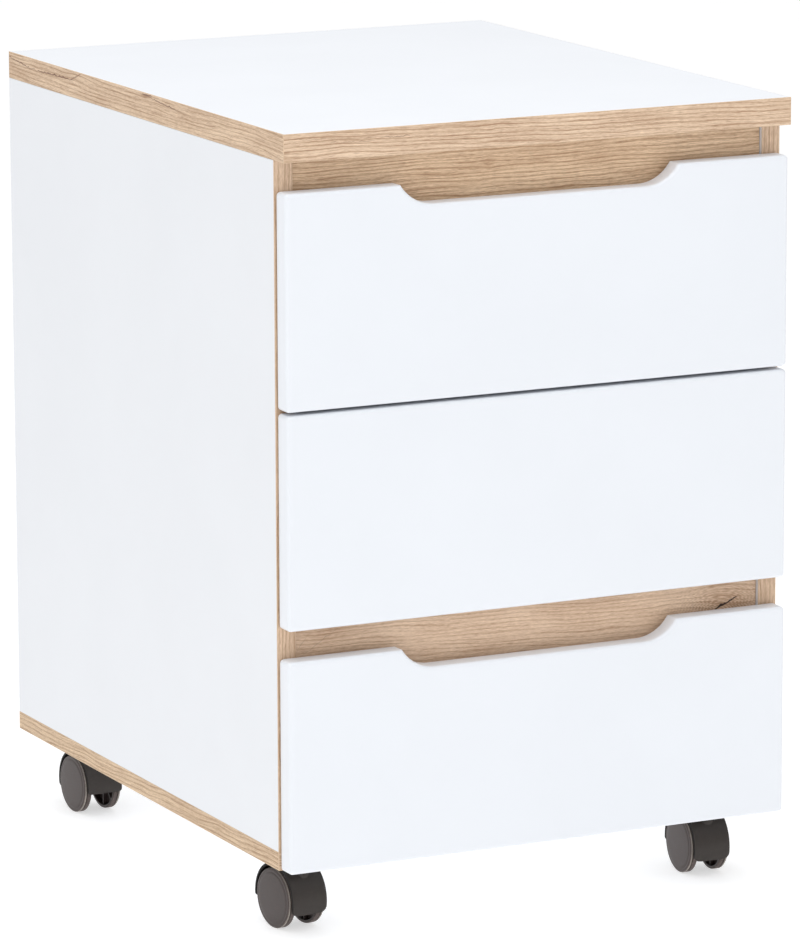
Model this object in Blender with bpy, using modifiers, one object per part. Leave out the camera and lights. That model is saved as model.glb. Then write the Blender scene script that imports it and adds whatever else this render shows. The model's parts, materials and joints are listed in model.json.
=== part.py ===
"""Rolling pedestal cabinet with three drawers on roller runners and four twin-wheel casters.

Metres, +Z up. The origin is on the floor under the middle of the cabinet, +X is to the right for
someone facing the drawers, and the drawers open towards -Y.
"""

from math import asin, cos, pi, radians, sin

import bmesh
import bpy
from mathutils import Vector

# Overall size
WIDTH = 0.440
DEPTH = 0.537
HEIGHT = 0.640
GAP = 0.0003  # clearance between pieces that touch
MERGE = 0.00001  # points closer than this are one point

# Boards
TOP_THICKNESS = 0.022
BOTTOM_THICKNESS = 0.015
SIDE_THICKNESS = 0.016
TOP_OVERHANG = 0.018  # how far the top board stands ahead of the carcass
BACK_THICKNESS = 0.003
BACK_INSET = 0.010  # from the rear edges of the sides to the back panel
GROOVE_DEPTH = 0.006
RAIL_THICKNESS = 0.016
RAIL_SETBACK = 0.0035
RAIL_TOP_HEIGHT = 0.048
RAIL_MIDDLE_LOW = 0.206
RAIL_MIDDLE_HIGH = 0.262

# Drawer fronts
FRONT_THICKNESS = 0.016
FRONT_CLEARANCE = 0.0015  # behind the closed front
FRONT_INSET = 0.0015  # from the cabinet's outer faces
GRIP_GAP = 0.024  # open height above a notched front
SEAM = 0.0025  # between the top and the middle front
FRONT_ROUND = 0.0025
NOTCH_DEPTH = 0.0158
NOTCH_FLAT = 0.092  # half width of the straight floor
NOTCH_MOUTH = 0.1205  # half width at the upper edge
NOTCH_STEPS = 6

# Drawer boxes
RUNNER_SPACE = 0.0125  # between a drawer side and the carcass side
BOX_WALL = 0.012
BOX_HEIGHT = 0.110
BOX_LENGTH = 0.450
BOX_PANEL = 0.003
BOX_PANEL_LIFT = 0.010
FRONT_GROOVE = 0.005

# Runners
RUNNER_LENGTH = 0.450
RUNNER_START = 0.002  # behind the carcass front
RUNNER_LIFT = 0.022  # runner centre above the drawer side's lower edge
SHEET = 0.0012
CHANNEL_HALF = 0.016
ROLLER_RADIUS = 0.008
ROLLER_BORE = 0.0023
ROLLER_PIN = 0.002
ROLLER_FROM_FRONT = 0.014
FRONT_ROLLER_DROP = 0.004
REAR_ROLLER_DROP = 0.0065
REAR_ROLLER_FROM_END = 0.012

# Runner sections and rollers, outwards from the drawer side
CHANNEL_LOWER_LIP = 0.002
CHANNEL_UPPER_LIP = 0.007
CHANNEL_LIP_TOP = -0.0125  # upper end of the lower lip, from the runner's centre
MEMBER_LEDGE = 0.010
MEMBER_FOOT = -0.0117  # the foot reaches under the drawer side
ROLLER_OUT = 0.0070
ROLLER_THICKNESS = 0.0066
ROLLER_BORE_LENGTH = 0.010
ROLLER_PIN_OUT = 0.0071
ROLLER_PIN_LENGTH = 0.009
REAR_ROLLER_OUT = 0.0072
REAR_ROLLER_THICKNESS = 0.0064
REAR_PIN_RADIUS = 0.003
REAR_PIN_OUT = 0.0028
REAR_PIN_LENGTH = 0.004
PIN_STEPS = 16
ROLLER_STEPS = 24

# Casters
CASTER_HEIGHT = 0.062
CASTER_FROM_SIDE = 0.039  # swivel axis to the board's side edge
CASTER_FROM_END = 0.043  # swivel axis to the board's front or rear edge
TRAIL = 0.015  # axle behind the swivel axis
WHEEL_RADIUS = 0.024
HOOD_RADIUS = 0.0285
HOOD_WALL = 0.0022
HOOD_HALF_WIDTH = 0.0157
WEB_HALF_WIDTH = 0.00965
HOOD_TILT = 6.0  # degrees, lower in front than behind
HOOD_EDGE_DROP = 0.0071  # rim plane below the axle
NECK_RADIUS = 0.009
NECK_FOOT = 0.034
NECK_CLEARANCE = 0.0004  # between the neck and the plate
PLATE_SIZE = 0.042
PLATE_THICKNESS = 0.002
KINGPIN_RADIUS = 0.004
KINGPIN_FOOT = 0.036
KINGPIN_BITE = 0.001  # how far the kingpin stands into the plate
AXLE_RADIUS = 0.0025
AXLE_HALF_LENGTH = 0.015

# Wheel section, from the caster's middle plane
CAP_CROWN = 0.0179
CAP_SHOULDER = 0.0176
CAP_EDGE = 0.0170
CAP_RADIUS = 0.0226
RIM_OUTER = 0.0164
RIM_INNER = 0.0103
RIM_CHAMFER = 0.0006
RIM_BORE = 0.0216
HOLLOW_RADIUS = 0.0210
HOLLOW_DEPTH = 0.0138
HUB_FOOT_RADIUS = 0.0075
HUB_FOOT_DEPTH = 0.0142
HUB_RADIUS = 0.0065

WHEEL_STEPS = 32
NECK_STEPS = 32
BORE_STEPS = 24
ROUND_STEPS = 48

# Swivel angle of each caster at rest, in degrees
CASTERS = {
    "front_left": (-1, -1, 7.0),
    "front_right": (1, -1, -3.0),
    "rear_left": (-1, 1, 183.0),
    "rear_right": (1, 1, 176.0),
}

# Colour, roughness, metallic
FINISHES = {
    "melamine": ((0.90, 0.92, 0.95), 0.35, 0.0),
    "oak": ((0.60, 0.42, 0.26), 0.50, 0.0),
    "lacquer": ((0.88, 0.91, 0.95), 0.28, 0.0),
    "box_board": ((0.80, 0.80, 0.80), 0.45, 0.0),
    "hardboard": ((0.74, 0.74, 0.73), 0.60, 0.0),
    "runner_steel": ((0.78, 0.78, 0.77), 0.40, 0.4),
    "nylon": ((0.85, 0.85, 0.83), 0.40, 0.0),
    "zinc": ((0.60, 0.61, 0.62), 0.35, 1.0),
    "caster_plastic": ((0.09, 0.08, 0.075), 0.45, 0.0),
}

half_width = WIDTH / 2
y_rear = DEPTH / 2
y_carcass = -DEPTH / 2 + TOP_OVERHANG
y_front_back = y_carcass - FRONT_CLEARANCE
z_bottom = CASTER_HEIGHT
z_floor_top = CASTER_HEIGHT + BOTTOM_THICKNESS
z_top_under = HEIGHT - TOP_THICKNESS
x_side_inner = half_width - SIDE_THICKNESS
x_box_outer = x_side_inner - RUNNER_SPACE
front_height = (z_top_under - z_bottom - 2 * GRIP_GAP - SEAM) / 3
y_back_panel = y_rear - BACK_INSET - BACK_THICKNESS

# Each drawer: lowest point of its front, lift of its box above that, and whether it is notched
z_middle = z_bottom + front_height + GRIP_GAP
z_top = z_middle + front_height + SEAM
DRAWERS = {
    "top": (z_top, 0.014, True),
    "middle": (z_middle, 0.014, False),
    "lower": (z_bottom, 0.026, True),
}


def clear_scene():
    for obj in list(bpy.data.objects):
        bpy.data.objects.remove(obj, do_unlink=True)


def new_collection(name):
    collection = bpy.data.collections.new(name)
    bpy.context.scene.collection.children.link(collection)
    return collection


def finish(obj, kind):
    colour, roughness, metallic = FINISHES[kind]
    material = bpy.data.materials.new(obj.name)
    material.use_nodes = True
    shader = material.node_tree.nodes["Principled BSDF"]
    shader.inputs["Base Color"].default_value = (*colour, 1.0)
    shader.inputs["Roughness"].default_value = roughness
    shader.inputs["Metallic"].default_value = metallic
    material.diffuse_color = (*colour, 1.0)
    obj.data.materials.clear()
    obj.data.materials.append(material)
    return obj


def mesh_object(name, bm, collection=None):
    """An object from a bmesh, in the parts collection unless another is given."""
    mesh = bpy.data.meshes.new(name)
    bm.to_mesh(mesh)
    bm.free()
    obj = bpy.data.objects.new(name, mesh)
    (collection or parts).objects.link(obj)
    return obj


def box(name, low, high, collection=None):
    low, high = Vector(low), Vector(high)
    bm = bmesh.new()
    bmesh.ops.create_cube(bm, size=1.0)
    bmesh.ops.scale(bm, vec=high - low, verts=bm.verts)
    obj = mesh_object(name, bm, collection)
    obj.location = (low + high) / 2
    return obj


def cylinder(name, radius, length, steps=ROUND_STEPS, collection=None):
    """A cylinder about local Z, centred on its origin."""
    bm = bmesh.new()
    bmesh.ops.create_cone(
        bm, cap_ends=True, segments=steps, radius1=radius, radius2=radius, depth=length
    )
    return mesh_object(name, bm, collection)


def along_x(obj, centre):
    """Turn a piece made about Z so that it lies along X."""
    obj.rotation_euler = (0.0, pi / 2, 0.0)
    obj.location = centre
    return obj


def outline(name, points, thickness, centre):
    """A flat outline given in X and Z, as thick as stated along Y, with its face towards -Y."""
    curve = bpy.data.curves.new(name, "CURVE")
    curve.dimensions = "2D"
    curve.fill_mode = "BOTH"
    curve.extrude = thickness / 2
    spline = curve.splines.new("POLY")
    spline.points.add(len(points) - 1)
    for point, (x, z) in zip(spline.points, points):
        point.co = (x, z, 0.0, 1.0)
    spline.use_cyclic_u = True
    flat = bpy.data.objects.new(name + "_outline", curve)
    parts.objects.link(flat)
    flat.rotation_euler = (pi / 2, 0.0, 0.0)
    flat.location = centre
    bpy.context.view_layer.update()
    mesh = bpy.data.meshes.new_from_object(flat.evaluated_get(bpy.context.evaluated_depsgraph_get()))
    bm = bmesh.new()
    bm.from_mesh(mesh)
    bmesh.ops.remove_doubles(bm, verts=bm.verts, dist=MERGE)
    bm.to_mesh(mesh)
    bm.free()
    obj = bpy.data.objects.new(name, mesh)
    parts.objects.link(obj)
    obj.matrix_world = flat.matrix_world
    bpy.data.objects.remove(flat)
    return obj


def boolean(obj, tool, operation="DIFFERENCE"):
    """Apply another object to this one, and keep that object as a hidden cutter."""
    tool.hide_render = True
    tool.display_type = "WIRE"
    modifier = obj.modifiers.new(tool.name, "BOOLEAN")
    modifier.operation = operation
    modifier.solver = "EXACT"
    modifier.object = tool
    return obj


def round_pieces(obj):
    obj.data.shade_smooth()
    obj.data.set_sharp_from_angle(angle=radians(30))


def turned(name, profile, steps):
    """A solid turned about local Z; the profile starts and ends on the axis, outer face first."""
    bm = bmesh.new()
    verts = [bm.verts.new((radius, 0.0, height)) for radius, height in profile]
    for first, second in zip(verts, verts[1:]):
        bm.edges.new((first, second))
    obj = mesh_object(name, bm)
    screw = obj.modifiers.new("turn", "SCREW")
    screw.steps = steps
    screw.render_steps = steps
    screw.use_merge_vertices = True
    screw.merge_threshold = MERGE
    return obj


def make_carcass():
    top = box("top_board", (-half_width, -y_rear, z_top_under), (half_width, y_rear, HEIGHT))
    bottom = box(
        "bottom_board", (-half_width, y_carcass, z_bottom), (half_width, y_rear, z_floor_top)
    )
    panel_low = z_floor_top + GAP - GROOVE_DEPTH
    panel_high = z_top_under - GAP + GROOVE_DEPTH
    groove = box(
        "back_groove",
        (-x_side_inner - GROOVE_DEPTH, y_back_panel - GAP, panel_low - GAP),
        (x_side_inner + GROOVE_DEPTH, y_rear - BACK_INSET + GAP, panel_high + GAP),
        cutters,
    )
    for obj in (top, bottom):
        boolean(obj, groove)
        finish(obj, "melamine")
    for side, sign in (("left", -1), ("right", 1)):
        inner, outer = sorted((sign * x_side_inner, sign * half_width))
        panel = box(
            f"side_panel_{side}",
            (inner, y_carcass, z_floor_top + GAP),
            (outer, y_rear, z_top_under - GAP),
        )
        boolean(panel, groove)
        finish(panel, "melamine")
    x_panel = x_side_inner + GROOVE_DEPTH - GAP
    back = box(
        "back_panel",
        (-x_panel, y_back_panel, panel_low),
        (x_panel, y_rear - BACK_INSET, panel_high),
    )
    finish(back, "hardboard")
    rails = {
        "rail_top": (z_top_under - RAIL_TOP_HEIGHT, z_top_under - GAP),
        "rail_middle": (RAIL_MIDDLE_LOW, RAIL_MIDDLE_HIGH),
    }
    y_rail = y_carcass + RAIL_SETBACK
    for name, (low, high) in rails.items():
        rail = box(
            name,
            (-x_side_inner + GAP, y_rail, low),
            (x_side_inner - GAP, y_rail + RAIL_THICKNESS, high),
        )
        finish(rail, "oak")


def front_points(notched):
    """Outline of a drawer front about its centre, with the notch's two arcs tangent to its floor."""
    x_edge = half_width - FRONT_INSET
    z_edge = front_height / 2
    points = [(-x_edge, -z_edge), (x_edge, -z_edge), (x_edge, z_edge)]
    if notched:
        reach = NOTCH_MOUTH - NOTCH_FLAT
        radius = (reach**2 + NOTCH_DEPTH**2) / (2 * NOTCH_DEPTH)
        sweep = asin(reach / radius)
        arc = []
        for step in range(NOTCH_STEPS + 1):
            angle = sweep * step / NOTCH_STEPS
            x = NOTCH_FLAT + radius * sin(angle)
            arc.append((x, z_edge - NOTCH_DEPTH + radius * (1 - cos(angle))))
        points += reversed(arc)
        points += [(-x, z) for x, z in arc]
    points.append((-x_edge, z_edge))
    return points


def make_front(drawer, z_low, z_panel, notched):
    name = f"drawer_{drawer}_front"
    centre = (0.0, y_front_back - FRONT_THICKNESS / 2, z_low + front_height / 2)
    front = outline(name, front_points(notched), FRONT_THICKNESS, centre)
    bm = bmesh.new()
    bm.from_mesh(front.data)
    face_z = FRONT_THICKNESS / 2 - MERGE
    rim = [e for e in bm.edges if all(v.co.z > face_z for v in e.verts) and e.calc_face_angle(0) > 1]
    bmesh.ops.bevel(bm, geom=rim, offset=FRONT_ROUND, segments=2, profile=0.5, affect="EDGES")
    bm.to_mesh(front.data)
    bm.free()
    x_panel = x_box_outer - BOX_WALL + GROOVE_DEPTH
    groove = box(
        name + "_groove",
        (-x_panel, y_front_back - FRONT_GROOVE, z_panel - GAP),
        (x_panel, y_front_back + GAP, z_panel + BOX_PANEL + GAP),
        cutters,
    )
    boolean(front, groove)
    finish(front, "lacquer")


def make_drawer(drawer, z_low, lift, notched):
    z_box = z_low + lift
    z_panel = z_box + BOX_PANEL_LIFT
    y_box = y_front_back + GAP
    y_end = y_box + BOX_LENGTH
    x_inner = x_box_outer - BOX_WALL
    x_panel = x_inner + GROOVE_DEPTH
    make_front(drawer, z_low, z_panel, notched)
    groove = box(
        f"drawer_{drawer}_groove",
        (-x_panel, y_box - GAP, z_panel - GAP),
        (x_panel, y_end + GAP, z_panel + BOX_PANEL + GAP),
        cutters,
    )
    for side, sign in (("left", -1), ("right", 1)):
        x_low, x_high = sorted((sign * x_inner, sign * x_box_outer))
        wall = box(
            f"drawer_{drawer}_side_{side}",
            (x_low, y_box, z_box),
            (x_high, y_end, z_box + BOX_HEIGHT),
        )
        boolean(wall, groove)
        finish(wall, "box_board")
    rear = box(
        f"drawer_{drawer}_back",
        (-x_inner + GAP, y_end - BOX_WALL, z_panel + BOX_PANEL + GAP),
        (x_inner - GAP, y_end, z_box + BOX_HEIGHT),
    )
    finish(rear, "box_board")
    panel = box(
        f"drawer_{drawer}_bottom",
        (-x_panel + GAP, y_front_back - FRONT_GROOVE + GAP, z_panel),
        (x_panel - GAP, y_end, z_panel + BOX_PANEL),
    )
    finish(panel, "hardboard")


def runner_profile(sign, points, z_centre):
    """Runner section: distance outwards from the drawer side, height from the runner's centre."""
    profile = [(sign * (x_box_outer + out), z_centre + up) for out, up in points]
    return profile if sign > 0 else profile[::-1]


def make_runners(drawer, z_box):
    z_centre = z_box + RUNNER_LIFT
    out_web = RUNNER_SPACE - GAP
    in_web = out_web - SHEET
    channel = [
        (CHANNEL_LOWER_LIP, -CHANNEL_HALF),
        (out_web, -CHANNEL_HALF),
        (out_web, CHANNEL_HALF),
        (CHANNEL_UPPER_LIP, CHANNEL_HALF),
        (CHANNEL_UPPER_LIP, CHANNEL_HALF - SHEET),
        (in_web, CHANNEL_HALF - SHEET),
        (in_web, SHEET - CHANNEL_HALF),
        (CHANNEL_LOWER_LIP + SHEET, SHEET - CHANNEL_HALF),
        (CHANNEL_LOWER_LIP + SHEET, CHANNEL_LIP_TOP),
        (CHANNEL_LOWER_LIP, CHANNEL_LIP_TOP),
    ]
    foot = -RUNNER_LIFT - GAP
    ledge = ROLLER_RADIUS - FRONT_ROLLER_DROP + GAP
    rider = [
        (MEMBER_FOOT, foot - SHEET),
        (GAP + SHEET, foot - SHEET),
        (GAP + SHEET, ledge),
        (MEMBER_LEDGE, ledge),
        (MEMBER_LEDGE, ledge + SHEET),
        (GAP, ledge + SHEET),
        (GAP, foot),
        (MEMBER_FOOT, foot),
    ]
    y_cabinet = y_carcass + RUNNER_START + RUNNER_LENGTH / 2
    y_drawer = y_front_back + GAP + BOX_LENGTH / 2
    y_roller = y_carcass + RUNNER_START + ROLLER_FROM_FRONT
    z_roller = z_centre - FRONT_ROLLER_DROP
    for side, sign in (("left", -1), ("right", 1)):
        cabinet = outline(
            f"runner_cabinet_{drawer}_{side}",
            runner_profile(sign, channel, z_centre),
            RUNNER_LENGTH,
            (0.0, y_cabinet, 0.0),
        )
        pin = cylinder(
            f"roller_pin_{drawer}_{side}", ROLLER_PIN, ROLLER_PIN_LENGTH, PIN_STEPS, cutters
        )
        along_x(pin, (sign * (x_box_outer + ROLLER_PIN_OUT), y_roller, z_roller))
        boolean(cabinet, pin, "UNION")
        finish(cabinet, "runner_steel")

        roller = cylinder(
            f"roller_{drawer}_{side}", ROLLER_RADIUS, ROLLER_THICKNESS, ROLLER_STEPS
        )
        along_x(roller, (sign * (x_box_outer + ROLLER_OUT), y_roller, z_roller))
        bore = cylinder(
            f"roller_bore_{drawer}_{side}", ROLLER_BORE, ROLLER_BORE_LENGTH, PIN_STEPS, cutters
        )
        along_x(bore, roller.location)
        boolean(roller, bore)
        round_pieces(roller)
        finish(roller, "nylon")

        rider_member = outline(
            f"runner_drawer_{drawer}_{side}",
            runner_profile(sign, rider, z_centre),
            BOX_LENGTH,
            (0.0, y_drawer, 0.0),
        )
        y_rear_roller = y_drawer + BOX_LENGTH / 2 - REAR_ROLLER_FROM_END
        z_rear_roller = z_centre - REAR_ROLLER_DROP
        stub = cylinder(
            f"rear_pin_{drawer}_{side}", REAR_PIN_RADIUS, REAR_PIN_LENGTH, PIN_STEPS, cutters
        )
        along_x(stub, (sign * (x_box_outer + REAR_PIN_OUT), y_rear_roller, z_rear_roller))
        boolean(rider_member, stub, "UNION")
        rear_roller = cylinder(
            f"rear_roller_{drawer}_{side}",
            ROLLER_RADIUS,
            REAR_ROLLER_THICKNESS,
            ROLLER_STEPS,
            cutters,
        )
        x_rear_roller = sign * (x_box_outer + REAR_ROLLER_OUT)
        along_x(rear_roller, (x_rear_roller, y_rear_roller, z_rear_roller))
        boolean(rider_member, rear_roller, "UNION")
        finish(rider_member, "runner_steel")


def make_hood(name, swivel):
    """Hood, central web and neck in one moulding, about the axle, which is a trail behind the neck."""
    hood = cylinder(f"caster_{name}_hood", HOOD_RADIUS, 2 * HOOD_HALF_WIDTH)
    axle_place = (0.0, TRAIL, WHEEL_RADIUS)
    tools = []
    pocket_length = 0.020
    for side, sign in (("left", -1), ("right", 1)):
        pocket = cylinder(
            f"{name}_pocket_{side}", HOOD_RADIUS - HOOD_WALL, pocket_length, collection=cutters
        )
        x_pocket = sign * (WEB_HALF_WIDTH + pocket_length / 2)
        tools.append((along_x(pocket, (x_pocket, TRAIL, WHEEL_RADIUS)), "DIFFERENCE"))
    neck_top = CASTER_HEIGHT - GAP - PLATE_THICKNESS - NECK_CLEARANCE
    neck = cylinder(f"{name}_neck", NECK_RADIUS, neck_top - NECK_FOOT, NECK_STEPS, cutters)
    neck.location = (0.0, 0.0, (neck_top + NECK_FOOT) / 2)
    tools.append((neck, "UNION"))
    reach = 2 * HOOD_RADIUS
    under = box(f"{name}_under", (-reach, -reach, -reach), (reach, reach, 0.0), cutters)
    bm = bmesh.new()
    bm.from_mesh(under.data)
    bmesh.ops.translate(bm, vec=under.location, verts=bm.verts)
    bm.to_mesh(under.data)
    bm.free()
    under.location = (0.0, TRAIL, WHEEL_RADIUS - HOOD_EDGE_DROP)
    under.rotation_euler = (radians(HOOD_TILT), 0.0, 0.0)
    tools.append((under, "DIFFERENCE"))
    bore = cylinder(f"{name}_pin_bore", KINGPIN_RADIUS + GAP, neck_top, BORE_STEPS, cutters)
    bore.location = (0.0, 0.0, KINGPIN_FOOT - AXLE_RADIUS + neck_top / 2)
    tools.append((bore, "DIFFERENCE"))
    axle_bore = cylinder(
        f"{name}_axle_bore", AXLE_RADIUS + GAP, 4 * HOOD_HALF_WIDTH, BORE_STEPS, cutters
    )
    tools.append((along_x(axle_bore, axle_place), "DIFFERENCE"))
    along_x(hood, axle_place)
    for tool, operation in tools:
        tool.parent = swivel
        boolean(hood, tool, operation)
    hood.parent = swivel
    round_pieces(hood)
    finish(hood, "caster_plastic")


def make_plate(name, swivel):
    """Plate with its kingpin, fixed to the bottom board square to the cabinet."""
    z_plate = CASTER_HEIGHT - GAP - PLATE_THICKNESS
    x, y, _ = swivel.location
    half = PLATE_SIZE / 2
    plate = box(
        f"caster_{name}_plate",
        (x - half, y - half, z_plate),
        (x + half, y + half, z_plate + PLATE_THICKNESS),
    )
    pin_top = z_plate + KINGPIN_BITE
    kingpin = cylinder(
        f"{name}_kingpin", KINGPIN_RADIUS, pin_top - KINGPIN_FOOT, BORE_STEPS, cutters
    )
    kingpin.location = (x, y, (pin_top + KINGPIN_FOOT) / 2)
    boolean(plate, kingpin, "UNION")
    finish(plate, "zinc")


def make_wheels(name, swivel):
    """Two wheels with domed outer faces and hollow inner sides, on one blind-bored axle."""
    hub_end = WEB_HALF_WIDTH + GAP
    bore_end = AXLE_HALF_LENGTH + GAP
    profile = [
        (0.0, CAP_CROWN),
        (WHEEL_RADIUS / 2, CAP_SHOULDER),
        (CAP_RADIUS, CAP_EDGE),
        (WHEEL_RADIUS, RIM_OUTER),
        (WHEEL_RADIUS, RIM_INNER + RIM_CHAMFER),
        (WHEEL_RADIUS - RIM_CHAMFER, RIM_INNER),
        (RIM_BORE, RIM_INNER),
        (HOLLOW_RADIUS, HOLLOW_DEPTH),
        (HUB_FOOT_RADIUS, HUB_FOOT_DEPTH),
        (HUB_RADIUS, hub_end),
        (AXLE_RADIUS + GAP, hub_end),
        (AXLE_RADIUS + GAP, bore_end),
        (0.0, bore_end),
    ]
    for side, sign in (("left", -1), ("right", 1)):
        wheel = turned(f"caster_{name}_wheel_{side}", profile, WHEEL_STEPS)
        wheel.rotation_euler = (0.0, sign * pi / 2, 0.0)
        wheel.location = (0.0, TRAIL, WHEEL_RADIUS)
        wheel.parent = swivel
        finish(wheel, "caster_plastic")
    axle = cylinder(f"caster_{name}_axle", AXLE_RADIUS, 2 * AXLE_HALF_LENGTH, BORE_STEPS)
    along_x(axle, (0.0, TRAIL, WHEEL_RADIUS))
    axle.parent = swivel
    round_pieces(axle)
    finish(axle, "zinc")


def make_caster(name, side, end, angle):
    """One caster about an empty on its swivel axis; its leading side is local -Y."""
    swivel = bpy.data.objects.new(f"{name}_swivel", None)
    parts.objects.link(swivel)
    x = side * (half_width - CASTER_FROM_SIDE)
    y = y_carcass + CASTER_FROM_END if end < 0 else y_rear - CASTER_FROM_END
    swivel.location = (x, y, 0.0)
    swivel.rotation_euler = (0.0, 0.0, radians(angle))
    make_plate(name, swivel)
    make_hood(name, swivel)
    make_wheels(name, swivel)


clear_scene()
parts = new_collection("rolling_pedestal")
cutters = new_collection("cutters")
make_carcass()
for drawer_name, (front_low, box_lift, has_notch) in DRAWERS.items():
    make_drawer(drawer_name, front_low, box_lift, has_notch)
    make_runners(drawer_name, front_low + box_lift)
for caster_name, (side_sign, end_sign, rest_angle) in CASTERS.items():
    make_caster(caster_name, side_sign, end_sign, rest_angle)
bpy.context.view_layer.update()
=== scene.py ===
"""Looks of the rolling pedestal cabinet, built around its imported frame.

Metres, +Z up, +X to the right facing the drawers, which open towards -Y. Pieces are placed by the
frame's boxes and joints; the sizes below shape what lies inside those boxes.
"""

import json
from math import asin, atan2, cos, pi, radians, sin, sqrt, tan

import bmesh
import bpy
from mathutils import Matrix, Vector


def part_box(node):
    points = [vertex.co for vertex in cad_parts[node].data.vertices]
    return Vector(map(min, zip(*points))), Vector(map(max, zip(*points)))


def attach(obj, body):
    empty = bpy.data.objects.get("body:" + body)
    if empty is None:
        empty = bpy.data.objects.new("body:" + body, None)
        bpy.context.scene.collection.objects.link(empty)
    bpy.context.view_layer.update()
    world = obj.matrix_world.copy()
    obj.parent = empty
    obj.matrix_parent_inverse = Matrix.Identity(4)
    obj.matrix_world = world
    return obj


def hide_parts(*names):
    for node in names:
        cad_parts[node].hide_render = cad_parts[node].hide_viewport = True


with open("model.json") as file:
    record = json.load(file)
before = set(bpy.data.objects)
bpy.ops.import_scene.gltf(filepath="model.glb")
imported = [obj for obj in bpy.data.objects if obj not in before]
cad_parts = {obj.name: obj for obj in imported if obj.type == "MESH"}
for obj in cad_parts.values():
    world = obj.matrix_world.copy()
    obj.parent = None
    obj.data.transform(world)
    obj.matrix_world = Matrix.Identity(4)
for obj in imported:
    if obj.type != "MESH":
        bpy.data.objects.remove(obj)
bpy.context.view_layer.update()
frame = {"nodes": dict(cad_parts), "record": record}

MM = 0.001

CLEARANCE = 0.0003  # between pieces of the frame that touch

# Boards
BAND = 0.0006  # thickness of an edge band
BAND_ROUND = 0.00045
PANEL_ROUND = 0.0004
BOX_ROUND = 0.0009  # edges of the drawer boxes' boards

# Drawer fronts
FRONT_ROUND = 0.0030
FRONT_CORNER_ROUND = 0.0032  # more than the front round, so that no inset corner folds over
FRONT_BACK_ROUND = 0.0003
NOTCH_DEPTH = 0.0158
NOTCH_FLAT = 0.092
NOTCH_MOUTH = 0.1205
NOTCH_STEPS = 18
CORNER_STEPS = 8
FRONT_STEPS = 8
FRONT_BACK_STEPS = 3

# Fittings of the drawer boxes; heights are above the lower edge of the drawer's side
CAM_FROM_FRONT = 0.034
CAM_HEIGHTS = (("low", 0.026), ("high", 0.088))
BACK_SCREW_HEIGHTS = (("low", 0.045), ("high", 0.095))

# Oak: display colours, and how much each field adds to the tone
OAK_LIGHT = (238, 210, 181)
OAK_DARK = (172, 136, 106)
OAK_PORE = (146, 110, 82)
LINE_WEIGHT = 1.5
RING_WEIGHT = 0.85
FIBRE_WEIGHT = 1.4
FLECK_WEIGHT = 1.2
CLOUD_WEIGHT = 0.7
PORE_WEIGHT = 0.55  # share of the pore colour in a pore
RIPPLE_WEIGHT = 0.32
TONE_REACH = 0.48  # the tone, up or down, at which the colour is fully dark or light
RING_PITCH = 1.85  # radians of a growth ring for each millimetre across the grain
RING_POWER = 3.0
RING_MEAN = 0.31  # mean of a growth ring's tone, taken off it
CRACK_WOBBLE = 3.0  # millimetres
CRACK_WOBBLE_SCALE = 0.16  # for each millimetre
CRACK_BUMP = 0.25

# Runners
SHEET = 0.0012
ROLLER_RADIUS = 0.008
CHANNEL_HALF = 0.016
RUNNER_LIFT = 0.022
REAR_ROLLER_DROP = 0.0065
REAR_ROLLER_FROM_END = 0.012
REAR_ROLLER_OUT = 0.0072  # roller centre from the drawer side
ROLLER_HALF = 0.0033  # half of a roller's thickness
FRONT_ROLLER_DROP = 0.004
CHANNEL_LOWER_LIP = 0.002
CHANNEL_UPPER_LIP = 0.007
CHANNEL_LIP_TOP = -0.0125
MEMBER_LEDGE = 0.010
MEMBER_FOOT = -0.0117
MEMBER_ROUND = 0.0004
FRONT_PIN_RADIUS = 0.002
FRONT_PIN_END = 0.0026  # free end of the pin, from the drawer side
REAR_PIN_RADIUS = 0.0021
REAR_PIN_END = 0.0112
RUNNER_SCREWS = (0.035, 0.170, 0.390)  # along a runner, from its front end
CHANNEL_SCREW_RISE = 0.0098  # above the runner's centre
MEMBER_SCREW_DROP = 0.0192

# Casters, about the swivel axis, with the leading side towards local -Y
TRAIL = 0.015
WHEEL_RADIUS = 0.024
HOOD_RADIUS = 0.0285
HOOD_WALL = 0.0022
HOOD_HALF_WIDTH = 0.0157
WEB_HALF_WIDTH = 0.00965
HOOD_TILT = radians(6.0)
HOOD_EDGE_DROP = 0.0071
HOOD_FRONT_CORNER = 0.0055
HOOD_REAR_CORNER = 0.0025
HOOD_EDGE_ROUND = 0.00045
HOOD_SKIN = 0.0004  # faces this close to the outer radius belong to the curved skin
HOOD_ROWS = 72
HOOD_COLUMNS = 12
WEB_INSET = 0.0006  # of the web's outline under the shell
WEB_ROUND = 0.0006
WEB_STEPS = 64
NECK_RADIUS = 0.009
NECK_CLEARANCE = 0.0004
NECK_FOOT = 0.010
AXLE_RADIUS = 0.0025
AXLE_HALF_LENGTH = 0.015
KINGPIN_RADIUS = 0.004
KINGPIN_FOOT = 0.036
KINGPIN_BITE = 0.001
PLATE_HALF = 0.021
PLATE_BOTTOM = 0.0597
PLATE_THICKNESS = 0.002
PLATE_ROUND = 0.0004
PLATE_CORNER = 0.004
PLATE_CORNER_STEPS = 6
PLATE_SCREW = 0.0145  # plate screws from the swivel axis, along X and Y
WHEEL_STEPS = 128
DOME_RADIUS = 0.0205
DOME_CROWN = 0.0179
DOME_RISE = 0.0006
DOME_STEPS = 10
RIB_COUNT = 8
HIGHLIGHT_RIM_RADIUS = 0.0236  # beyond it, and above the next height, lies the glossy rim, painted pale as a highlight
HIGHLIGHT_RIM_HEIGHT = 0.0151
TREAD_START = 0.0234

# Stage
FLOOR_SIZE = 30.0
FLOOR_GLOW = 0.57
WORLD_STRENGTH = 0.62
LIGHT_TARGET = (0.0, 0.0, 0.35)

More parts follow.
